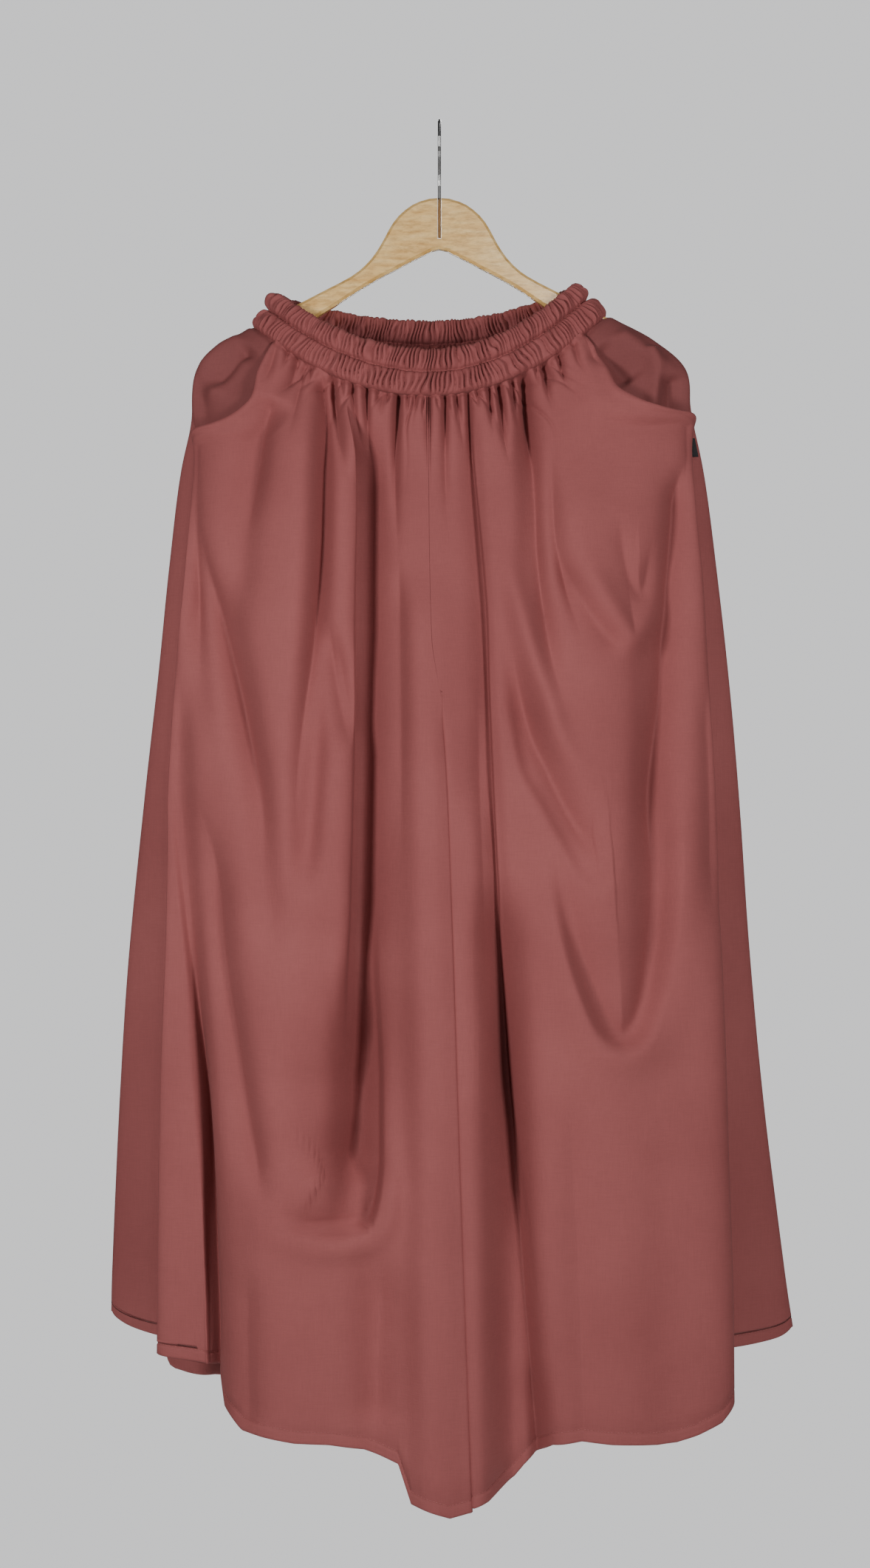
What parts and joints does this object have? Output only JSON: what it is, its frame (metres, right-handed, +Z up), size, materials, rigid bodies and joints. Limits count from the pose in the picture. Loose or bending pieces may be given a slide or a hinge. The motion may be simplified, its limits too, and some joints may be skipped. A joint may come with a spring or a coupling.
{
  "type": "palazzo pants on a wooden hanger",
  "caption": "Full-length flared palazzo pants with a gathered elastic waistband and slanted side pockets, hung on a flat wooden hanger with a wire hook.",
  "frame": {"origin": "inner top of the hanger's hook, where a rail carries it", "axes": "+Z up along the garment's length; the front of the garment faces -Y; +X is to the right as seen from the front"},
  "size_m": [0.6384, 0.2252, 1.253],
  "materials": {
    "marsala_cloth": "matt woven cloth with a faint sheen",
    "pale_varnished_wood": "clear varnish",
    "brushed_steel": "plain drawn wire",
    "black_tape": "matt woven tape"
  },
  "bodies": {
    "root": {"hanger_body": "pale_varnished_wood", "hanger_hook": "brushed_steel", "waistband_front": "marsala_cloth", "waistband_back": "marsala_cloth", "front_leg_left": "marsala_cloth", "front_leg_right": "marsala_cloth", "back_leg_left": "marsala_cloth", "back_leg_right": "marsala_cloth", "pocket_facing_left": "marsala_cloth", "pocket_facing_right": "marsala_cloth", "side_tab": "black_tape"}
  },
  "joints": []
}
